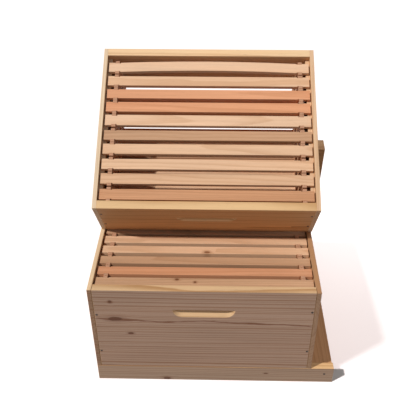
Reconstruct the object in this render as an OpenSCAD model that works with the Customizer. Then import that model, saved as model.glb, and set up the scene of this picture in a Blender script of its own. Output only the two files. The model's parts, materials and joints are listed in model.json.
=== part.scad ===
// Ten-frame Langstroth beehive of bare pine, opened for a look inside. The deep
// body stands on its bottom board. The shallow super stands on the front edge of
// its underside across the deep body and leans back on the cover, which stands on
// the ground behind. Each body holds ten empty self-spacing frames.
// Millimetres, +Z up. The long sides face -Y and +Y and the entrance faces +X.
// The hive is laid out with X = 0 at the middle of the deep body, Y = 0 at its
// front and Z = 0 on the ground, and is then moved to centre it on the origin.

/* [Hive bodies] */
// Outside length of both bodies
body_length = 505; // [495:1:515]
// Outside width of both bodies
body_width = 413; // [410:1:430]
// Thickness of their boards
wall = 19; // [17:0.5:22]
// Height of the deep body
deep_height = 243; // [240:1:250]
// Height of the shallow super
super_height = 144.5; // [144:0.5:150]
// Thickness of the lip that an end board laps over the end of a long board
corner_lip = 9.5; // [6:0.5:12]
// Thickness that is left of an end board behind the frame rest
rest_wall = 9.5; // [8:0.5:11]
// Depth of the frame rest below the rim
rest_depth = 16; // [15.5:0.5:18]

/* [Handholds] */
// Width of a handhold along its top edge
hand_width = 138; // [90:1:160]
// Height of a handhold, and radius of its round ends
hand_height = 21.5; // [16:0.5:26]
// Depth of a handhold under its top edge
hand_depth = 12; // [8:0.5:13]
// Height of the upright back of a handhold, above its slope
hand_upright = 5; // [0.5:0.5:8]
// Distance from a body's rim down to its handholds
hand_drop = 56; // [40:1:80]

/* [Bottom board] */
// Length of the bottom board, with the landing board
bottom_length = 559; // [540:1:600]
// Height of its side rails
rail_height = 47.6; // [47.1:0.1:50]
// Thickness of the floor planks
plank_thickness = 19; // [16:0.5:20]
// Height of the entrance above the floor
entrance_height = 9.5; // [8:0.5:12]
// Depth of the groove in the rails that takes the planks
groove_depth = 9.5; // [6:0.5:12]
// Number of floor planks
plank_count = 4; // [3:1:6]

/* [Frames] */
// Number of frames in each body
frame_count = 10; // [1:1:10]
// Length of a top bar over its lugs
bar_length = 480; // [474:1:482]
// Width of a top bar
bar_width = 25.4; // [24:0.1:27]
// Thickness of a light top bar
light_bar = 11; // [9.5:0.5:14]
// Thickness of a heavy top bar
heavy_bar = 19; // [14:0.5:22]
// Thickness of the lugs that rest in the body
lug_thickness = 9.5; // [8:0.1:9.5]
// Distance over the outer faces of the two end bars
end_span = 447.6; // [440:0.1:450]
// Thickness of an end bar
end_thickness = 9.5; // [8:0.5:10]
// Width of the upper part of an end bar, which spaces the frames
end_width = 34.6; // [34:0.1:34.8]
// Width of the lower part of an end bar
end_lower_width = 28.6; // [26:0.1:30]
// Width of the slot in an end bar that takes the top bar
fork_width = 22; // [19:0.5:23]
// Width of the bottom bar
bottom_bar_width = 19; // [16:0.5:22]
// Thickness of the bottom bar
bottom_bar_thickness = 9.5; // [8:0.5:12]
// Height of a deep frame
deep_frame_height = 232; // [225:1:234]
// Height of a shallow frame
super_frame_height = 137; // [130:0.5:137]
// Height of the wide upper part of a deep end bar
deep_shoulder = 78; // [50:1:110]
// Height of the wide upper part of a shallow end bar
super_shoulder = 62; // [40:1:90]
// Sideways bow of the rearmost top bar in the super
rear_bar_bow = 5; // [0:0.5:5]

/* [Propped super] */
// Angle between the super and the ground
super_tilt = 33.5; // [33.5:0.25:34.5]
// Distance of its lower front edge behind the front of the deep body
super_setback = 212.5; // [212:0.5:213]
// Sideways offset of the super on the deep body
super_offset = 2.6; // [-3:0.1:5]

/* [Cover] */
// Length of the cover
cover_length = 559; // [550:1:570]
// Width of the cover
cover_width = 416; // [413:0.5:416]
// Thickness of its plywood panel
panel_thickness = 15; // [9:0.5:19]
// Width of the cleats across its ends
cleat_width = 19; // [16:0.5:25]
// Depth of the cleats below the panel
cleat_depth = 38; // [30:0.5:42]
// Size of the bevel on the corners of the cleats
cleat_bevel = 16; // [0:1:18]
// Angle by which the cover leans forward
cover_lean = 8.5; // [8:0.25:9]
// Sideways offset of the middle of the cover
cover_offset = 18; // [5:1:25]

/* [Nails] */
// Diameter of the heads
nail_head = 5.6; // [4:0.1:7]
// Diameter of the shanks
nail_shank = 2.8; // [2:0.1:3.5]
// Length of the nails
nail_length = 42; // [32:1:45]
// Thickness of the heads
nail_head_thickness = 1.2; // [0.8:0.1:2]
// Height of the heads above the wood
nail_proud = 0.3; // [0.1:0.1:0.5]

/* [Hidden] */
$fn = 48;
// gap between bodies that rest on each other
seam = 0.3;
// gap between loose neighbours in one body
joint_gap = 0.3;
// how far a cutter runs past the surface that it opens
over = 1;

half_length = body_length / 2;
// end of the long boards, inside the corner lips
long_half = half_length - corner_lip;
deep_z = rail_height + seam;
deep_rim = deep_z + deep_height;
floor_top = rail_height - entrance_height;
floor_z = floor_top - plank_thickness;
bottom_left = -half_length;
bottom_right = bottom_left + bottom_length;
plank_pitch = bottom_length / plank_count;
// drop from a body's rim to the tops of its bars, with the lugs a seam above their rest
bar_drop = rest_depth - lug_thickness - seam;

// Spacing from each frame to the next, from the front: hand-set frames never
// stand quite evenly, and end bars that touch give the least of these.
deep_spacing = [36, 36.4, 37.4, 36.2, 35, 35, 35.2, 35, 35];
super_spacing = [38, 36, 38, 35, 39, 34.9, 34.9, 35.2, 37.3];
first_frame = wall + end_width / 2 + seam;

// The super's frames are of more than one make: how much wider each top bar is
// than the usual one, and which of them are heavy.
super_extra_width = [0, 0, 0, 0, -0.8, 2.2, 0, -1.4, 0, 0];
heavy_frames = [7, 8];

end_outer = end_span / 2;
end_inner = end_outer - end_thickness;
// the waist of a top bar reaches a little further in than its end bar
waist_inner = end_inner - 3;
// saw kerfs that take the edges of a sheet of foundation
kerf_width = 3.2;
kerf_depth = 3;
bow_steps = 12;

// foot of the leaning cover, a seam behind the rim that it leans over
cover_foot = body_width + (seam + deep_rim * sin(cover_lean)) / cos(cover_lean);
cover_left = cover_offset - cover_length / 2;
super_foot = deep_rim + seam;
hive_back = super_setback + body_width * cos(super_tilt);
origin_x = (min(cover_left, bottom_left) + bottom_right) / 2;
origin_y = (hive_back - nail_proud) / 2;

pine = "#d9bd93";
pine_end = "#cfae7f";
pale_pine = "#e4cda6";
plywood = "#c9a87c";
steel = "#77716a";
deep_tones = ["#d8b58c", "#c98d66", "#cfa77e", "#e0c29b", "#dcc09a",
              "#d3b088", "#cda67c", "#d9b98f", "#cf9f76", "#d6b48b"];
super_tones = ["#cf9b76", "#dcb494", "#e6c8a0", "#ecd2ab", "#c3a27c",
               "#ead0ab", "#e0a27e", "#e2a582", "#d9b892", "#e3bfa4"];

function numbered(name, part) =
    [for (n = [1:frame_count]) str(name, n, part)];

// ---- Placing ----

module hive() translate([-origin_x, -origin_y, 0]) children();

module in_deep() hive() translate([0, 0, deep_z]) children();

module in_super() hive()
    translate([super_offset, super_setback, super_foot])
        rotate([super_tilt, 0, 0]) children();

// x runs along the cover, y through it from the panel's outer face, z up its width
module in_cover() hive()
    translate([cover_left, cover_foot, 0])
        rotate([cover_lean, 0, 0]) children();

function total(list, count) = count == 0 ? 0 : list[count - 1] + total(list, count - 1);

module frame_place(n, spacing, height)
    translate([0, first_frame + total(spacing, n - 1), height - bar_drop]) children();

// mirrors a right-hand piece to the left as well
module both_ends() {
    children();
    mirror([1, 0, 0]) children();
}

// ---- Nails ----

// a nail driven along +Y, with the face of the wood at y = 0
module nail(length = nail_length)
    translate([0, -nail_proud, 0]) rotate([-90, 0, 0]) {
        cylinder(d = nail_head, h = nail_head_thickness);
        cylinder(d = nail_shank, h = length);
    }

// ---- Bodies ----

// cuts into +Y: level on top, sloping out to nothing below, with the ends rounded
module handhold_cut() {
    straight = hand_width - 2 * hand_height;
    // the slope is carried on past the face of the wood
    depth = hand_depth + over;
    height = hand_upright + (hand_height - hand_upright) * depth / hand_depth;
    translate([0, -over, 0]) {
        for (side = [-1, 1])
            intersection() {
                translate([side * straight / 2, 0, 0]) rotate([-90, 0, 0])
                    cylinder(h = depth, r1 = height, r2 = hand_upright);
                translate([side > 0 ? 0 : -hand_width, -over, -2 * height])
                    cube([hand_width, depth + 2 * over, 2 * height]);
            }
        rotate([90, 0, 90]) linear_extrude(straight, center = true)
            polygon([[0, 0], [depth, 0], [depth, -hand_upright], [0, -height]]);
    }
}

module long_board(height)
    difference() {
        translate([-long_half, 0, 0]) cube([2 * long_half, wall, height]);
        translate([0, 0, height - hand_drop]) handhold_cut();
    }

module back_board(height)
    translate([0, body_width, 0]) mirror([0, 1, 0]) long_board(height);

// the right-hand end board
module end_board(height)
    difference() {
        translate([half_length - wall, 0, 0]) cube([wall, body_width, height]);
        // rabbets for the long boards
        for (y = [-over, body_width - wall])
            translate([half_length - wall - over, y, -over])
                cube([wall - corner_lip + over, wall + over, height + 2 * over]);
        // frame rest
        translate([half_length - wall - over, -over, height - rest_depth])
            cube([wall - rest_wall + over, body_width + 2 * over, rest_depth + over]);
        translate([half_length, body_width / 2, height - hand_drop])
            rotate([0, 0, 90]) handhold_cut();
    }

// Nails through the long boards into the end boards, and through the corner lips
// into the ends of the long boards. Heights are of one end's nails.
module end_nails(face_heights, lip_heights) {
    for (z = face_heights) {
        translate([half_length - 15, 0, z]) nail();
        translate([half_length - 15, body_width, z]) rotate([0, 0, 180]) nail();
    }
    for (z = lip_heights, y = [wall / 2, body_width - wall / 2])
        translate([half_length, y, z]) rotate([0, 0, 90]) nail();
}

// ---- Bottom board ----

module rail()
    difference() {
        translate([bottom_left, 0, 0]) cube([bottom_length, wall, rail_height]);
        translate([bottom_left - over, wall - groove_depth, floor_z])
            cube([bottom_length + 2 * over, groove_depth + over, plank_thickness]);
    }

// planks lie across the hive, numbered from its closed end
module plank(n)
    translate([bottom_left + (n - 1) * plank_pitch, wall - groove_depth, floor_z])
        cube([plank_pitch - (n < plank_count ? joint_gap : 0),
              body_width - 2 * (wall - groove_depth), plank_thickness]);

module rail_front() color(pine) hive() rail();

module rail_back() color(pine) hive()
    translate([0, body_width, 0]) mirror([0, 1, 0]) rail();

module floor_planks() color(pine_end) hive()
    for (n = [1:plank_count - 1]) plank(n);

module landing_plank() color(pine_end) hive() plank(plank_count);

// one strip closes the back of the entrance gap, the other the gap under the floor
module rear_cleats() color(pine) hive()
    for (strip = [[0, floor_z], [floor_top, rail_height]])
        translate([bottom_left, wall, strip[0]])
            cube([wall, body_width - 2 * wall, strip[1] - strip[0]]);

// Both rails are nailed to the landing plank. Nails in the back rail alone hold the
// first plank and the closing strips, and the planks between lie loose in their grooves.
module bottom_nails() color(steel) hive() {
    inset = 21;
    plank_z = floor_z + plank_thickness / 2;
    translate([bottom_right - inset, 0, plank_z]) nail();
    for (place = [[bottom_right - inset, plank_z],
                  [bottom_left + plank_pitch - inset, plank_z],
                  [bottom_left + wall / 2, floor_z / 2],
                  [bottom_left + wall / 2, (floor_top + rail_height) / 2]])
        translate([place[0], body_width, place[1]]) rotate([0, 0, 180]) nail();
}

// ---- Deep body ----

module deep_front_board() color(pine) in_deep() long_board(deep_height);

module deep_back_board() color(pine) in_deep() back_board(deep_height);

module deep_right_board() color(pale_pine) in_deep() end_board(deep_height);

module deep_left_board() color(pale_pine) in_deep()
    mirror([1, 0, 0]) end_board(deep_height);

module deep_nails() color(steel) in_deep() {
    end_nails([deep_height - 184, deep_height - 58], [30, 120, 205]);
    mirror([1, 0, 0]) end_nails([deep_height - 191, deep_height - 74], [30, 120, 205]);
}

// ---- Shallow super ----

module super_front_board() color(pale_pine) in_super() long_board(super_height);

module super_back_board() color(pale_pine) in_super() back_board(super_height);

module super_right_board() color(pale_pine) in_super() end_board(super_height);

module super_left_board() color(pale_pine) in_super()
    mirror([1, 0, 0]) end_board(super_height);

module super_nails() color(steel) in_super()
    both_ends() end_nails([40, 106], [22, 90]);

// ---- Cover ----

module cover_panel() color(plywood) in_cover()
    cube([cover_length, panel_thickness, cover_width]);

module cleat() {
    far = panel_thickness + cleat_depth;
    rotate([90, 0, 90]) linear_extrude(cleat_width)
        polygon([[panel_thickness, 0], [far - cleat_bevel, 0], [far, cleat_bevel],
                 [far, cover_width - cleat_bevel], [far - cleat_bevel, cover_width],
                 [panel_thickness, cover_width]]);
}

module cover_left_cleat() color(pine) in_cover() cleat();

module cover_right_cleat() color(pine) in_cover()
    translate([cover_length - cleat_width, 0, 0]) cleat();

module cover_nails() color(steel) in_cover()
    for (x = [cleat_width / 2, cover_length - cleat_width / 2], k = [0.12, 0.37, 0.62, 0.87])
        translate([x, 0, k * cover_width]) nail(panel_thickness + cleat_depth * 0.75);

// ---- Frames: x along the frame, y across it, z = 0 on top of the top bar ----

// edge of a top bar between its waists; side is -1 at the front and 1 at the back
function bar_edge(side, width, bow) =
    [for (i = [0:bow_steps])
        let (along = 2 * i / bow_steps - 1)
            [along * waist_inner, side * width / 2 + bow * (1 - along * along)]];

function reversed(list) = [for (i = [len(list) - 1:-1:0]) list[i]];

module top_bar(thickness, width, bow)
    difference() {
        union() {
            translate([0, 0, -thickness]) linear_extrude(thickness)
                if (bow == 0)
                    square([2 * waist_inner, width], center = true);
                else
                    polygon(concat(bar_edge(-1, width, bow), reversed(bar_edge(1, width, bow))));
            both_ends() {
                // waist that sits in the end bar
                translate([waist_inner - over, -fork_width / 2, -thickness])
                    cube([end_outer - waist_inner + over, fork_width, thickness]);
                translate([end_outer, -width / 2, -lug_thickness])
                    cube([bar_length / 2 - end_outer, width, lug_thickness]);
            }
        }
        translate([-waist_inner, -kerf_width / 2, -thickness - over])
            cube([2 * waist_inner, kerf_width, kerf_depth + over]);
    }

module bottom_bar(height)
    difference() {
        translate([-end_outer, -bottom_bar_width / 2, -height])
            cube([end_span, bottom_bar_width, bottom_bar_thickness]);
        translate([-end_inner, -kerf_width / 2, -height + bottom_bar_thickness - kerf_depth])
            cube([2 * end_inner, kerf_width, kerf_depth + over]);
    }

module frame_bars(height, thickness = light_bar, width = bar_width, bow = 0) {
    top_bar(thickness, width, bow);
    bottom_bar(height);
}

module frame_end_bars(height, shoulder, thickness = light_bar) {
    wide = end_width / 2;
    narrow = end_lower_width / 2;
    slope = wide - narrow;
    both_ends()
        translate([end_inner, 0, 0]) rotate([90, 0, 90]) linear_extrude(end_thickness)
            difference() {
                polygon([[wide, 0], [wide, -shoulder], [narrow, -shoulder - slope],
                         [narrow, -height], [-narrow, -height], [-narrow, -shoulder - slope],
                         [-wide, -shoulder], [-wide, 0]]);
                translate([-fork_width / 2, -thickness])
                    square([fork_width, thickness + over]);
                translate([-bottom_bar_width / 2, -height - over])
                    square([bottom_bar_width, bottom_bar_thickness + over]);
            }
}

function super_bar_thickness(n) = len(search(n, heavy_frames)) > 0 ? heavy_bar : light_bar;

module deep_frame_bars(n) color(deep_tones[n - 1]) in_deep()
    frame_place(n, deep_spacing, deep_height) frame_bars(deep_frame_height);

module deep_frame_end_bars(n) color(pale_pine) in_deep()
    frame_place(n, deep_spacing, deep_height)
        frame_end_bars(deep_frame_height, deep_shoulder);

module super_frame_bars(n) color(super_tones[n - 1]) in_super()
    frame_place(n, super_spacing, super_height)
        frame_bars(super_frame_height, super_bar_thickness(n), bar_width + super_extra_width[n - 1],
                   n == frame_count ? rear_bar_bow : 0);

module super_frame_end_bars(n) color(pale_pine) in_super()
    frame_place(n, super_spacing, super_height)
        frame_end_bars(super_frame_height, super_shoulder, super_bar_thickness(n));

// ---- Output ----

rail_front();
rail_back();
floor_planks();
landing_plank();
rear_cleats();
bottom_nails();

deep_front_board();
deep_back_board();
deep_left_board();
deep_right_board();
deep_nails();

super_front_board();
super_back_board();
super_left_board();
super_right_board();
super_nails();

cover_panel();
cover_left_cleat();
cover_right_cleat();
cover_nails();

for (n = [1:frame_count]) {
    deep_frame_bars(n);
    deep_frame_end_bars(n);
    super_frame_bars(n);
    super_frame_end_bars(n);
}
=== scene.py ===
"""Looks of an opened ten-frame beehive in bare pine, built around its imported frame.

Every part of the frame is stood for by a piece with eased edges, whose wood is a log pattern:
growth rings round a pith, fibre along the board, knots and streaks where a board has them.
"""
import json
import math
import random
from collections import Counter

import bmesh
import bpy
from mathutils import Matrix, Vector

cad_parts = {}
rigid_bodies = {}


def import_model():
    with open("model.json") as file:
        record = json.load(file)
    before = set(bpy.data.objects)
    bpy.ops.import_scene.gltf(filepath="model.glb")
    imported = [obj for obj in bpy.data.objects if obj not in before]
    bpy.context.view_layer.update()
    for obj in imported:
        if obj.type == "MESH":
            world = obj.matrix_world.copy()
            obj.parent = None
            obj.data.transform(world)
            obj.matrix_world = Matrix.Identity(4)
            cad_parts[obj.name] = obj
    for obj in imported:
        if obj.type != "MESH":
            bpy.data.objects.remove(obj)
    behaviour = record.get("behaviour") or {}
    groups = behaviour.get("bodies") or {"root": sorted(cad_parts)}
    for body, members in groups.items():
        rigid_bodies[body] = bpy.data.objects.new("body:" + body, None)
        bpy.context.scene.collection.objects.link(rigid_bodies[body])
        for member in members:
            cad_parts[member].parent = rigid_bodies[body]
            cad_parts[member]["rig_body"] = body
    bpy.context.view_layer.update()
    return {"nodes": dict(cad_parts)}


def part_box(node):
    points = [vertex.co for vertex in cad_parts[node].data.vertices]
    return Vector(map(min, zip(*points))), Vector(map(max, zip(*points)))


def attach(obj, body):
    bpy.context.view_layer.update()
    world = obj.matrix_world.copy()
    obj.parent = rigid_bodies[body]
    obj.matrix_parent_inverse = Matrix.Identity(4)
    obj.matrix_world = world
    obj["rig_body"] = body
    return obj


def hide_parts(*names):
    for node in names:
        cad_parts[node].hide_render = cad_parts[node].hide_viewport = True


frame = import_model()

MM = 0.001


# ---------------------------------------------------------------- helpers

def colour(red, green, blue):
    """Linear colour of an 8-bit display colour."""
    return tuple(((c / 255 + 0.055) / 1.055) ** 2.4 for c in (red, green, blue)) + (1.0,)


class Graph:
    """Adds nodes to a shader tree. An input is a number, a tuple, or another node's output."""

    SOCKETS = {"colour": "NodeSocketColor", "number": "NodeSocketFloat", "vector": "NodeSocketVector"}

    def __init__(self, tree):
        self.tree = tree

    def node(self, kind, inputs=None, **settings):
        made = self.tree.nodes.new("ShaderNode" + kind)
        for name, value in settings.items():
            setattr(made, name, value)
        for key, value in (inputs or {}).items():
            self.feed(made.inputs[key], value)
        return made

    def feed(self, socket, value):
        if isinstance(value, bpy.types.NodeSocket):
            self.tree.links.new(value, socket)
        else:
            socket.default_value = value

    def attribute(self, name, output="Vector"):
        return self.node("Attribute", attribute_name=name).outputs[output]

    def math(self, operation, *values, clamp=False):
        inputs = dict(enumerate(values))
        return self.node("Math", inputs, operation=operation, use_clamp=clamp).outputs[0]

    def vector(self, operation, *values):
        made = self.node("VectorMath", dict(enumerate(values)), operation=operation)
        return made.outputs["Value" if operation == "LENGTH" else "Vector"]

    def noise(self, where, scale=(1, 1, 1), detail=2.0, roughness=0.5):
        """Noise from 0 to 1. scale gives the grains in a metre along each axis."""
        inputs = {"Vector": self.vector("MULTIPLY", where, scale), "Scale": 1.0}
        return self.node("TexNoise", {**inputs, "Detail": detail, "Roughness": roughness}).outputs[0]

    def ramp(self, value, low, high, to_low=0.0, to_high=1.0):
        """Smooth step from to_low at low, to to_high at high."""
        inputs = {"Value": value, "From Min": low, "From Max": high, "To Min": to_low, "To Max": to_high}
        return self.node("MapRange", inputs, interpolation_type="SMOOTHSTEP").outputs[0]

    def mix(self, share, a, b, blend="MIX"):
        inputs = {0: share, 6: a, 7: b}
        return self.node("Mix", inputs, data_type="RGBA", blend_type=blend).outputs[2]

    def grey(self, value):
        """A number as a colour, for multiplying one."""
        return self.node("CombineColor", {0: value, 1: value, 2: value}).outputs[0]

    def takes(self, **sockets):
        """Makes the group's inputs, and returns their outputs inside the group."""
        for name, kind in sockets.items():
            self.tree.interface.new_socket(name, in_out="INPUT", socket_type=self.SOCKETS[kind])
        return [self.tree.nodes.new("NodeGroupInput").outputs[name] for name in sockets]

    def gives(self, **values):
        """Makes the group's outputs."""
        for name, (kind, _) in values.items():
            self.tree.interface.new_socket(name, in_out="OUTPUT", socket_type=self.SOCKETS[kind])
        out = self.tree.nodes.new("NodeGroupOutput")
        for name, (_, value) in values.items():
            self.feed(out.inputs[name], value)

    def group(self, tree, **inputs):
        made = self.tree.nodes.new("ShaderNodeGroup")
        made.node_tree = tree
        for name, value in inputs.items():
            self.feed(made.inputs[name], value)
        return made.outputs


def new_group(name):
    """A graph for a new group of shader nodes."""
    return Graph(bpy.data.node_groups.new(name, "ShaderNodeTree"))


# ---------------------------------------------------------------- wood

def knot_group():
    """A knot at a place on a board: its mask, its dark rim, the stained wood round it, and how far
    it pushes the grain aside. stretch draws it out along the board."""
    g = new_group("knot")
    place, centre, radius, stretch = g.takes(
        place="vector", centre="vector", radius="number", stretch="number")
    squeeze = g.node("CombineXYZ", {0: g.math("DIVIDE", 1.0, stretch), 1: 1.0, 2: 0.0}).outputs[0]
    offset = g.vector("MULTIPLY", g.vector("SUBTRACT", place, centre), squeeze)
    rough = g.math("MULTIPLY_ADD", g.noise(place, (90, 240, 60)), 0.6, -0.3)
    reach = g.math("ADD", g.math("DIVIDE", g.vector("LENGTH", offset), radius), rough)
    mask = g.ramp(reach, 0.7, 1.15, 1.0, 0.0)
    rim = g.math("MULTIPLY", g.ramp(reach, 0.55, 0.95), g.ramp(reach, 1.0, 1.35, 1.0, 0.0))
    halo = g.ramp(reach, 1.0, 2.8, 1.0, 0.0)
    rings = g.math("MULTIPLY_ADD", g.math("SINE", g.math("MULTIPLY", reach, 15.0)), 0.5, 0.5)
    fade = g.math("EXPONENT", g.math("MULTIPLY", g.math("POWER", reach, 2.0), -0.16))
    across = g.node("SeparateXYZ", {0: offset}).outputs["Y"]
    bend = g.math("MULTIPLY", g.math("MULTIPLY", across, fade), -0.92)
    g.gives(mask=("number", mask), rim=("number", rim), halo=("number", halo),
            rings=("number", rings), bend=("number", bend))
    return g.tree


def streak_group():
    """A thin resin or bark line that wanders along a board from one point to another."""
    g = new_group("streak")
    place, start, end, width = g.takes(place="vector", start="vector", end="vector", width="number")
    here = g.node("SeparateXYZ", {0: place}).outputs
    first = g.node("SeparateXYZ", {0: start}).outputs
    last = g.node("SeparateXYZ", {0: end}).outputs
    share = g.math("DIVIDE", g.math("SUBTRACT", here["X"], first["X"]),
                   g.math("SUBTRACT", last["X"], first["X"]))
    rise = g.math("SUBTRACT", last["Y"], first["Y"])
    line = g.math("MULTIPLY_ADD", share, rise, first["Y"])
    wander = g.math("MULTIPLY_ADD", g.noise(place, (8, 0, 0), detail=3), 0.012, -0.006)
    away = g.math("ABSOLUTE", g.math("SUBTRACT", g.math("SUBTRACT", here["Y"], line), wander))
    thick = g.math("MULTIPLY", width, g.ramp(g.noise(place, (14, 0, 0), detail=2), 0.3, 0.7, 0.55, 1.5))
    mark = g.ramp(g.math("DIVIDE", away, thick), 0.1, 1.0, 1.0, 0.0)
    ends = g.math("MULTIPLY", g.ramp(share, 0.0, 0.06), g.ramp(share, 0.94, 1.0, 1.0, 0.0))
    broken = g.ramp(g.noise(place, (30, 160, 60), detail=3), 0.3, 0.6, 0.6, 1.0)
    g.gives(mask=("number", g.math("MULTIPLY", mark, g.math("MULTIPLY", ends, broken))))
    return g.tree


# what each of these makes of the tone of the wood around it
LATEWOOD = (0.70, 0.58, 0.46, 1)
HEARTWOOD = (0.93, 0.76, 0.62, 1)
RESIN = (0.42, 0.26, 0.18, 1)
KNOT_LIGHT = (0.42, 0.26, 0.17, 1)
KNOT_DARK = (0.26, 0.15, 0.09, 1)


def pine_group():
    """Planed pine in the log's own axes: x along the pith, y and z across it."""
    g = new_group("pine")
    face_tone, edge_tone, end_tone, ring, thin, figure, heart, shift, knot, rim, halo, rings, streak = (
        g.takes(face_tone="colour", edge_tone="colour", end_tone="colour", ring="number",
                thin="number", figure="number", heart="number", shift="vector", knot="number",
                rim="number", halo="number", rings="number", streak="number"))
    log = g.vector("ADD", g.attribute("log"), shift)
    broad = g.attribute("broad", "Fac")
    end = g.attribute("end", "Fac")
    eased = g.attribute("eased", "Fac")
    # Broad faces take the face tone. On the boards that face the front, that tone is darkened as painted
    # shade.
    tone = g.mix(broad, edge_tone, face_tone)

    wobble = g.math("MULTIPLY_ADD", g.noise(log, (1.6, 9, 9), detail=3), 0.014, -0.007)
    fine_wobble = g.math("MULTIPLY_ADD", g.noise(log, (9, 60, 60), detail=2), 0.0016, -0.0008)
    radius = g.math("ADD", g.vector("LENGTH", g.vector("MULTIPLY", log, (0, 1, 1))),
                    g.math("ADD", wobble, fine_wobble))
    uneven = g.node("TexNoise", {"W": g.math("MULTIPLY", radius, 70.0), "Scale": 1.0, "Detail": 1.0},
                    noise_dimensions="1D").outputs[0]
    phase = g.math("FRACT", g.math("MULTIPLY_ADD", uneven, 1.6, g.math("DIVIDE", radius, ring)))
    late = g.math("MULTIPLY", g.ramp(phase, thin, 0.92), g.ramp(phase, 0.94, 1.0, 1.0, 0.0))

    fibre = g.noise(log, (22, 1100, 1100), detail=3, roughness=0.6)
    streaks = g.noise(log, (3.0, 170, 170), detail=3, roughness=0.6)
    patches = g.noise(log, (2.2, 16, 16), detail=2)
    heartwood = g.math("MULTIPLY", g.ramp(g.noise(log, (1.3, 26, 26), detail=3), 0.45, 0.68), heart)
    ducts = g.ramp(g.noise(log, (55, 1500, 1500), detail=1), 0.66, 0.76)

    wood = g.mix(heartwood, tone, g.mix(1.0, tone, HEARTWOOD, "MULTIPLY"))
    wood = g.mix(g.math("MULTIPLY", late, figure), wood, g.mix(1.0, wood, LATEWOOD, "MULTIPLY"))
    shade = g.math("MULTIPLY_ADD", fibre, 0.24, 0.88)
    shade = g.math("MULTIPLY", shade, g.math("MULTIPLY_ADD", streaks, 0.3, 0.85))
    shade = g.math("MULTIPLY", shade, g.math("MULTIPLY_ADD", patches, 0.3, 0.85))
    shade = g.math("MULTIPLY", shade, g.math("MULTIPLY_ADD", ducts, -0.22, 1.0))
    wood = g.mix(1.0, wood, g.grey(shade), "MULTIPLY")

    wood = g.mix(g.math("MULTIPLY", streak, 0.95), wood, g.mix(1.0, tone, RESIN, "MULTIPLY"))
    wood = g.mix(g.math("MULTIPLY", halo, 0.45), wood, g.mix(1.0, tone, RESIN, "MULTIPLY"))
    knot_tone = g.mix(1.0, tone, g.mix(rings, KNOT_LIGHT, KNOT_DARK), "MULTIPLY")
    wood = g.mix(g.math("MULTIPLY", knot, 0.9), wood, knot_tone)
    wood = g.mix(g.math("MULTIPLY", rim, 0.7), wood, g.mix(1.0, tone, KNOT_DARK, "MULTIPLY"))

    pores = g.noise(log, (300, 2600, 2600), detail=1)
    sawn = g.mix(1.0, g.mix(0.75, wood, end_tone), g.grey(shade), "MULTIPLY")
    sawn = g.mix(g.math("MULTIPLY", late, 0.4), sawn, g.mix(1.0, sawn, LATEWOOD, "MULTIPLY"))
    sawn = g.mix(g.ramp(pores, 0.35, 0.6, 0.3, 0.0), sawn, colour(112, 74, 46))
    wood = g.mix(end, wood, sawn)
    rubbed = g.ramp(g.noise(log, (60, 140, 140), detail=3), 0.35, 0.65, 0.0, 0.5)
    wood = g.mix(g.math("MULTIPLY", eased, rubbed), wood, colour(150, 108, 72))

    roughness = g.math("MULTIPLY_ADD", fibre, 0.22, 0.5)
    roughness = g.math("ADD", roughness, g.math("MULTIPLY", end, 0.16))
    roughness = g.math("ADD", roughness, g.math("MULTIPLY", eased, 0.08))
    chatter = g.math("SINE", g.math("MULTIPLY", g.node("SeparateXYZ", {0: log}).outputs["X"], 1900.0))
    height = g.math("MULTIPLY_ADD", late, 0.35, g.math("MULTIPLY", fibre, 0.9))
    height = g.math("ADD", height, g.math("MULTIPLY", chatter, 0.05))
    height = g.math("ADD", height, g.math("MULTIPLY", g.math("MULTIPLY", pores, end), 1.5))
    height = g.math("ADD", height, g.math("MULTIPLY", rim, -1.2))
    bumped = g.node("Bump", {"Strength": 0.5, "Distance": 0.25 * MM, "Height": height}).outputs[0]
    g.gives(colour=("colour", wood), roughness=("number", roughness), normal=("vector", bumped))
    return g.tree


PINE, KNOT, STREAK = pine_group(), knot_group(), streak_group()


def wood(name, face, edge=None, end=None, ring=4.0, thin=0.35, figure=0.45, heart=0.25, knots=(),
         streaks=(), **_):
    """A pine for one part: the tones of its broad faces, its edges and its end grain, and in
    millimetres on its own broad face, the width of a growth ring, its knots (along, across, radius,
    stretch), and its streaks (from along, across, to along, across, half width)."""
    material = bpy.data.materials.new(name)
    material.use_nodes = True
    material.node_tree.nodes.clear()
    g = Graph(material.node_tree)
    place = g.attribute("place")
    masks = {"mask": 0.0, "rim": 0.0, "halo": 0.0, "rings": 0.0, "bend": 0.0}
    for along, across, radius, stretch in knots:
        made = g.group(KNOT, place=place, centre=(along * MM, across * MM, 0), radius=radius * MM,
                       stretch=stretch)
        for key in masks:
            masks[key] = g.math("ADD", masks[key], made[key])
    line = 0.0
    for x0, y0, x1, y1, width in streaks:
        made = g.group(STREAK, place=place, start=(x0 * MM, y0 * MM, 0), end=(x1 * MM, y1 * MM, 0),
                       width=width * MM)
        line = g.math("MAXIMUM", line, made["mask"])
    shift = g.node("CombineXYZ", {1: masks["bend"]}).outputs[0] if knots else (0, 0, 0)
    pine = g.group(PINE, face_tone=face, edge_tone=edge or face, end_tone=end or edge or face,
                   ring=ring * MM, thin=thin, figure=figure, heart=heart, shift=shift,
                   knot=masks["mask"], rim=masks["rim"], halo=masks["halo"], rings=masks["rings"],
                   streak=line)
    shader = g.node("BsdfPrincipled", {"Base Color": pine["colour"], "Roughness": pine["roughness"],
                                       "Normal": pine["normal"], "Specular IOR Level": 0.3})
    g.node("OutputMaterial", {"Surface": shader.outputs[0]})
    return material


# ---------------------------------------------------------------- pieces

def turn_about_x(mesh):
    """The angle about X, within 45 degrees, by which a part's flats are turned out of square."""
    flats = Counter()
    for face in mesh.polygons:
        if abs(face.normal.x) < 0.001:
            angle = math.degrees(math.atan2(face.normal.z, face.normal.y)) % 90
            flats[round(angle, 2)] += face.area
    angle = flats.most_common(1)[0][0]
    return math.radians(angle if angle <= 45 else angle - 90)


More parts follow.
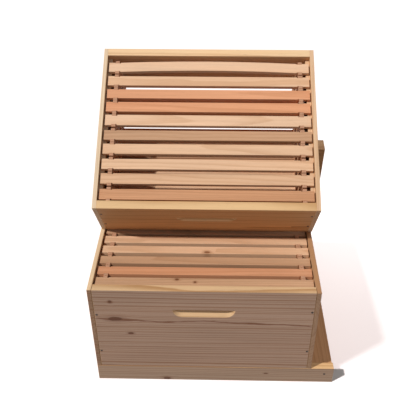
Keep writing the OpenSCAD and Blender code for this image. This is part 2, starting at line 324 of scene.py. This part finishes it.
def solids(bm):
    """The separate solids of a mesh, each as a list of vertices."""
    left = set(bm.verts)
    while left:
        first = min(left, key=lambda v: v.index)
        found, reached = {first}, [first]
        while reached:
            for edge in reached.pop().link_edges:
                for other in edge.verts:
                    if other not in found:
                        found.add(other)
                        reached.append(other)
        left -= found
        yield sorted(found, key=lambda v: v.index)


def ease(bm, width, segments=2):
    """Rounds the sharp edges, and returns the faces that this makes."""
    sharp = [e for e in bm.edges if len(e.link_faces) == 2 and e.calc_face_angle() > math.radians(32)]
    made = bmesh.ops.bevel(bm, geom=sharp, offset=width, segments=segments, profile=0.5,
                           affect="EDGES", clamp_overlap=True, loop_slide=True)
    return set(made["faces"])


def piece_from(node, ease_by, log_turn=None, pith=None, joint=0.0, **_):
    """A piece in the place of a CAD node: the same solids with eased edges, and for each point its
    place on its own board and its place in the log that the board was sawn from. A board is turned
    in its log by log_turn degrees, or at random, and its pith may be given in millimetres. Its two
    ends stand back by the width of an open joint."""
    source = frame["nodes"][node]
    bm = bmesh.new()
    bm.from_mesh(source.data)
    bmesh.ops.remove_doubles(bm, verts=bm.verts, dist=0.01 * MM)
    bmesh.ops.dissolve_limit(bm, angle_limit=math.radians(0.5), verts=bm.verts, edges=bm.edges)
    if joint:
        left, right = min(v.co.x for v in bm.verts), max(v.co.x for v in bm.verts)
        for vert in bm.verts:
            vert.co.x = min(max(vert.co.x, left + joint * MM), right - joint * MM)
    bm.verts.index_update()
    turn = turn_about_x(source.data)
    square = Matrix.Rotation(-turn, 3, "X")
    rounded = ease(bm, ease_by * MM)
    bm.verts.index_update()
    bm.normal_update()

    place = bm.verts.layers.float_vector.new("place")
    log = bm.verts.layers.float_vector.new("log")
    end = bm.faces.layers.float.new("end")
    eased = bm.faces.layers.float.new("eased")
    broad = bm.faces.layers.float.new("broad")
    for number, verts in enumerate(solids(bm)):
        draw = random.Random(f"{node} {number}")
        points = [square @ v.co for v in verts]
        low = Vector([min(p[i] for p in points) for i in range(3)])
        high = Vector([max(p[i] for p in points) for i in range(3)])
        order = sorted(range(3), key=lambda i: low[i] - high[i])
        away, behind = pith or (draw.uniform(-30, 30), draw.uniform(45, 90))
        from_pith = Vector((draw.uniform(0, 5), -away * MM, behind * MM))
        turned = draw.uniform(0, 180) if log_turn is None else log_turn
        sawn = (Matrix.Rotation(math.radians(turned), 3, "X")
                @ Matrix.Rotation(math.radians(draw.uniform(-1.3, 1.3)), 3, "Y")
                @ Matrix.Rotation(math.radians(draw.uniform(-0.8, 0.8)), 3, "Z"))
        for vert, point in zip(verts, points):
            middle = point - (low + high) / 2
            own = Vector([middle[i] for i in order])
            vert[place] = own
            vert[log] = sawn @ (own + from_pith)
        grain, through = (
            square.inverted() @ Vector([1.0 if i == axis else 0.0 for i in range(3)])
            for axis in (order[0], order[2]))
        for face in {f for v in verts for f in v.link_faces}:
            face[end] = 1.0 if abs(face.normal.dot(grain)) > 0.8 else 0.0
            # Only faces square to the thickness count as broad, so a handhold's sloped floor keeps the
            # lighter edge tone and not the face tone's painted shade.
            face[broad] = 1.0 if abs(face.normal.dot(through)) > 0.95 else 0.0
            face[eased] = 1.0 if face in rounded else 0.0
            face.smooth = face in rounded

    mesh = bpy.data.meshes.new(node + "_wood")
    bm.to_mesh(mesh)
    bm.free()
    piece = bpy.data.objects.new(node + "_piece", mesh)
    bpy.context.scene.collection.objects.link(piece)
    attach(piece, source["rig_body"])
    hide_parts(node)
    return piece


# ---------------------------------------------------------------- looks of the parts

CREAM = colour(231, 193, 160)
PALE = colour(227, 187, 152)
TAN = colour(196, 154, 120)
ROSE = colour(200, 149, 111)
SAND = colour(217, 176, 141)
ORANGE = colour(222, 160, 120)
RUST = colour(214, 155, 117)
PINK_END = colour(192, 145, 118)

SUPER_BARS = [ROSE, SAND, PALE, PALE, TAN, CREAM, ORANGE, ORANGE, PALE, CREAM]
DEEP_BARS = [TAN, RUST, TAN, PALE, PALE, TAN, PALE, CREAM, ROSE, PALE]
BAR_KNOTS = {
    "deep_frame_1_bars": [(-60, 8, 2.6, 1.3), (-20, 0, 2.2, 1.2)],
    "deep_frame_4_bars": [(5, -8, 3.2, 1.8)],
}

LOOKS = {
    # The grey face tone, darker than the edge tone, is partly greyer wood and partly painted shade on
    # the rail's front, which the key lamp only grazes.
    "rail_front": dict(ease_by=0.4, face=colour(176, 147, 124), edge=colour(222, 180, 130), ring=6,
                       thin=0.5, figure=0.7, knots=[(-115, -19, 4, 1.8), (120, 4, 1.6, 2.5)],
                       log_turn=0, pith=(-20, 50)),
    "rail_back": dict(face=colour(200, 164, 130), ring=6),
    "rear_cleats": dict(face=colour(200, 164, 130)),
    "floor_planks": dict(face=colour(206, 160, 116), ring=7, log_turn=0),
    "landing_plank": dict(face=colour(206, 156, 110), ring=7, thin=0.3, heart=0.5, log_turn=0),
    # The grey face tone, darker than the edge tone, is partly weathered wood and partly painted shade on
    # the front face, which the key lamp only grazes.
    "deep_front_board": dict(face=colour(176, 145, 124), edge=colour(214, 178, 136), ring=7.5,
                             thin=0.55, figure=1.0, heart=0.12, log_turn=0, pith=(-142, 45), joint=0.9,
                             knots=[(-197, 35.5, 5.4, 2.6), (-205, 88, 3.0, 1.1),
                                    (-165, -10, 2.8, 2.0)],
                             streaks=[(-244, 37, -60, 26, 4.2), (-112, 27.5, 30, 33, 3.0),
                                      (-12, 33, 247, 19, 3.8)]),
    "deep_back_board": dict(face=colour(204, 166, 130), edge=colour(218, 182, 140), ring=9, thin=0.5,
                            log_turn=0, knots=[(120, 40, 6, 1.4), (-60, -70, 4, 1.6)]),
    # The bright edge tone is painted light on the left rim. The dark end tone is end grain, darkened
    # further as painted shade on its front-facing end.
    "deep_left_board": dict(face=colour(206, 168, 128), edge=colour(234, 204, 166),
                            end=colour(132, 92, 72), ring=9, thin=0.5, log_turn=0,
                            knots=[(-80, 30, 5, 1.5)]),
    # The dark edge tone is painted shade on the right rim. The grey end tone is end grain, darkened as
    # painted shade on its front-facing end.
    "deep_right_board": dict(face=colour(206, 168, 128), edge=colour(176, 130, 90),
                             end=colour(172, 142, 118), ring=9, thin=0.5, log_turn=0,
                             knots=[(90, -40, 7, 1.5)]),
    # The darker, warmer face tone is painted shade and painted warm bounce light on the super's front,
    # which faces down away from the key lamp.
    "super_front_board": dict(face=colour(206, 156, 106), edge=colour(224, 186, 138), ring=9,
                              thin=0.5, figure=0.8, heart=0.3, log_turn=0,
                              streaks=[(198, -40, 243, -38, 5.0)]),
    # The light face tone is partly the wood and partly painted bounce light on the board's inner face,
    # which faces away from the key lamp.
    "super_back_board": dict(face=colour(225, 182, 136), edge=colour(236, 202, 160), ring=9,
                             thin=0.5, log_turn=0),
    "super_left_board": dict(face=colour(206, 166, 124), edge=colour(228, 202, 170), ring=8,
                             thin=0.5, log_turn=0, knots=[(60, 10, 5, 1.5)]),
    "super_right_board": dict(face=colour(206, 166, 124), edge=colour(222, 186, 150), ring=8,
                              thin=0.5, log_turn=0),
    "cover_left_cleat": dict(face=colour(196, 160, 124), ring=5),
    "cover_right_cleat": dict(face=colour(196, 160, 124), ring=5),
}


def look_of(node):
    """Settings of a part's shape and wood."""
    if node in LOOKS:
        return {"ease_by": 1.0, **LOOKS[node]}
    words = node.split("_")
    body, number = words[0], int(words[2]) - 1
    if node.endswith("end_bars"):
        return {"ease_by": 0.6, "face": colour(214, 169, 134), "end": PINK_END, "ring": 3.0}
    tones = DEEP_BARS if body == "deep" else SUPER_BARS
    return {"ease_by": 0.6, "face": tones[number], "knots": BAR_KNOTS.get(node, ()), "ring": 3.5,
            "figure": 0.35}


def nail_steel():
    """Dull bright-wire steel, worn in spots."""
    material = bpy.data.materials.new("nail_steel")
    material.use_nodes = True
    material.node_tree.nodes.clear()
    g = Graph(material.node_tree)
    worn = g.noise(g.attribute("log"), (700, 700, 700), detail=3)
    tone = g.mix(worn, colour(54, 47, 42), colour(92, 80, 70))
    shader = g.node("BsdfPrincipled", {"Base Color": tone, "Metallic": 0.6,
                                       "Roughness": g.math("MULTIPLY_ADD", worn, 0.3, 0.45)})
    g.node("OutputMaterial", {"Surface": shader.outputs[0]})
    return material


def plywood():
    """Softwood plywood: sheets whose grain runs along and across in turn, and show at the edges."""
    material = bpy.data.materials.new("plywood")
    material.use_nodes = True
    material.node_tree.nodes.clear()
    g = Graph(material.node_tree)
    place = g.attribute("place")
    broad = g.attribute("broad", "Fac")
    depth = g.node("SeparateXYZ", {0: place}).outputs["Z"]
    wavy = g.math("ADD", depth, g.math("MULTIPLY_ADD", g.noise(place, (9, 9, 0), detail=2), 0.8 * MM,
                                       -0.4 * MM))
    layer = g.math("FRACT", g.math("MULTIPLY_ADD", wavy, 1 / (4.8 * MM), 0.75))
    crossed = g.math("MULTIPLY", g.ramp(layer, 0.44, 0.5), g.ramp(layer, 0.94, 1.0, 1.0, 0.0))
    glue = g.math("MULTIPLY", g.ramp(layer, 0.4, 0.47), g.ramp(layer, 0.49, 0.56, 1.0, 0.0))
    along = g.noise(place, (6, 190, 900), detail=3, roughness=0.6)
    arches = g.noise(place, (1.4, 11, 0), detail=2)
    rings = g.ramp(g.math("FRACT", g.math("MULTIPLY", arches, 13.0)), 0.3, 0.95)
    open_pores = g.noise(place, (420, 420, 900), detail=2)
    # The dark face tone is partly the plywood and partly painted shade on the cover's front face.
    face = g.mix(g.math("MULTIPLY", rings, 0.4), colour(160, 118, 76), colour(130, 86, 50))
    face = g.mix(1.0, face, g.grey(g.math("MULTIPLY_ADD", along, 0.3, 0.85)), "MULTIPLY")
    edge = g.mix(crossed, colour(204, 164, 122), colour(146, 104, 70))
    edge = g.mix(g.math("MULTIPLY", glue, 0.7), edge, colour(84, 54, 36))
    edge = g.mix(1.0, edge, g.grey(g.math("MULTIPLY_ADD", open_pores, 0.4, 0.8)), "MULTIPLY")
    tone = g.mix(broad, edge, face)
    height = g.math("ADD", along, g.math("MULTIPLY", g.math("SUBTRACT", 1.0, broad),
                                         g.math("MULTIPLY", crossed, -2.0)))
    bumped = g.node("Bump", {"Strength": 0.5, "Distance": 0.3 * MM, "Height": height}).outputs[0]
    shader = g.node("BsdfPrincipled", {"Base Color": tone, "Normal": bumped, "Specular IOR Level": 0.3,
                                       "Roughness": g.math("MULTIPLY_ADD", along, 0.2, 0.55)})
    g.node("OutputMaterial", {"Surface": shader.outputs[0]})
    return material


STEEL, PLYWOOD = nail_steel(), plywood()

for node in frame["nodes"]:
    if "nails" in node:
        piece, material = piece_from(node, 0.3), STEEL
    elif node == "cover_panel":
        piece, material = piece_from(node, 0.6, 0), PLYWOOD
    else:
        look = look_of(node)
        piece, material = piece_from(node, **look), wood(node, **look)
    piece.data.materials.append(material)


# ---------------------------------------------------------------- stage, light and camera

# the way that the key lamp and the fill lamp shine
DOWN = (0.559, 0.340, -0.756)
FROM_FAR_RIGHT = (-0.62, -0.66, -0.42)
# colours of the lamps
WARM = (1.0, 0.975, 0.94)
PINKISH = (1.0, 0.853, 0.831)


def white_floor():
    """A wide white sheet on the ground."""
    mesh = bpy.data.meshes.new("floor")
    half = 12.0
    mesh.from_pydata([(-half, -half, 0), (half, -half, 0), (half, half, 0), (-half, half, 0)], [],
                     [(0, 1, 2, 3)])
    floor = bpy.data.objects.new("floor", mesh)
    bpy.context.scene.collection.objects.link(floor)
    material = bpy.data.materials.new("white_sheet")
    material.use_nodes = True
    shader = material.node_tree.nodes["Principled BSDF"]
    shader.inputs["Base Color"].default_value = (0.6, 0.6, 0.6, 1)
    shader.inputs["Roughness"].default_value = 0.9
    mesh.materials.append(material)
    return floor


def white_backdrop():
    """A white dome far round the hive. Only the camera sees it, so it neither lights nor shades."""
    mesh = bpy.data.meshes.new("backdrop")
    bm = bmesh.new()
    bmesh.ops.create_icosphere(bm, subdivisions=4, radius=11.0)
    bm.to_mesh(mesh)
    bm.free()
    material = bpy.data.materials.new("white_backdrop")
    material.use_nodes = True
    material.node_tree.nodes.clear()
    g = Graph(material.node_tree)
    shader = g.node("Emission", {"Color": (1, 1, 1, 1), "Strength": 1.0})
    g.node("OutputMaterial", {"Surface": shader.outputs[0]})
    material.cycles.emission_sampling = "NONE"
    mesh.materials.append(material)
    dome = bpy.data.objects.new("backdrop", mesh)
    bpy.context.scene.collection.objects.link(dome)
    for ray in ("diffuse", "glossy", "transmission", "volume_scatter", "shadow"):
        setattr(dome, "visible_" + ray, False)


def sun(name, energy, towards, shines_on, shaded_by=None, **settings):
    """Sunlight for some of the objects, which some of them may shade."""
    light = bpy.data.lights.new(name, "SUN")
    light.energy = energy
    for key, value in settings.items():
        setattr(light, key, value)
    made = bpy.data.objects.new(name, light)
    made.rotation_euler = Vector(towards).to_track_quat("-Z", "Y").to_euler()
    bpy.context.scene.collection.objects.link(made)
    made.light_linking.receiver_collection = shines_on
    if shaded_by:
        made.light_linking.blocker_collection = shaded_by


def low_lamp(name, energy, place, shines_on):
    """A bare bulb that casts no shadows."""
    light = bpy.data.lights.new(name, "POINT")
    light.energy = energy
    light.use_shadow = False
    made = bpy.data.objects.new(name, light)
    made.location = place
    bpy.context.scene.collection.objects.link(made)
    made.light_linking.receiver_collection = shines_on


def collected(name, objects):
    """A collection for a lamp to shine on, or to be shaded by."""
    made = bpy.data.collections.new(name)
    for each in objects:
        made.objects.link(each)
    return made


def studio_light(floor):
    """A hard key lamp high on the left and a little in front, and a soft fill from the far right for
    the sides that the key leaves dark. A second key lights the cover past the super. The floor is a
    white sheet with lamps of its own, so that it throws no light back and keeps only the faint
    shadow of the deep body, which a low lamp washes out towards the back, and the rail's dark
    one."""
    pieces = [o for o in bpy.context.scene.objects if o.type == "MESH" and o is not floor]
    hive = collected("hive", pieces)
    ground = collected("ground", [floor])
    deep = collected("deep", [o for o in pieces if o.name.startswith(("deep", "rail", "landing"))])
    rail = collected("rail", [o for o in pieces if o.name.startswith("rail_front")])
    cover = collected("cover", [o for o in pieces if o.name.startswith("cover")])
    sun("key", 2.83, DOWN, hive, angle=math.radians(2), color=WARM)
    sun("cover_key", 1.2, DOWN, cover, cover, angle=math.radians(2), color=WARM)
    sun("fill", 0.7, FROM_FAR_RIGHT, hive, angle=math.radians(50))
    sun("floor_faint", 2.6, DOWN, ground, deep, angle=math.radians(5))
    sun("floor_dark", 4.35, DOWN, ground, rail, angle=math.radians(3), color=PINKISH)
    low_lamp("floor_wash", 4.2, (0.42, 0.35, 0.45), ground)
    floor.visible_diffuse = False


def sky():
    """Even light from all round."""
    world = bpy.data.worlds.new("sky")
    world.use_nodes = True
    background = world.node_tree.nodes["Background"]
    background.inputs["Color"].default_value = (0.99, 0.98, 1.0, 1)
    background.inputs["Strength"].default_value = 0.3
    bpy.context.scene.world = world


def main_camera():
    """In front of the hive, a little to the right of its middle, looking down at it."""
    low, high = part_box("deep_front_board")
    middle = (low.x + high.x) / 2
    lens = bpy.data.cameras.new("camera")
    lens.lens = 54.79
    lens.sensor_width = 36.0
    camera = bpy.data.objects.new("camera", lens)
    camera.location = (middle + 0.0225, low.y - 0.99773, 1.24224)
    turned = (Matrix.Rotation(math.radians(1.3), 3, "Z")
              @ Matrix.Rotation(math.radians(90 - 36.335), 3, "X")
              @ Matrix.Rotation(math.radians(-0.123), 3, "Z"))
    camera.rotation_euler = turned.to_euler()
    bpy.context.scene.collection.objects.link(camera)
    bpy.context.scene.camera = camera


studio_light(white_floor())
sky()
white_backdrop()
main_camera()
bpy.context.scene.view_settings.view_transform = "Standard"
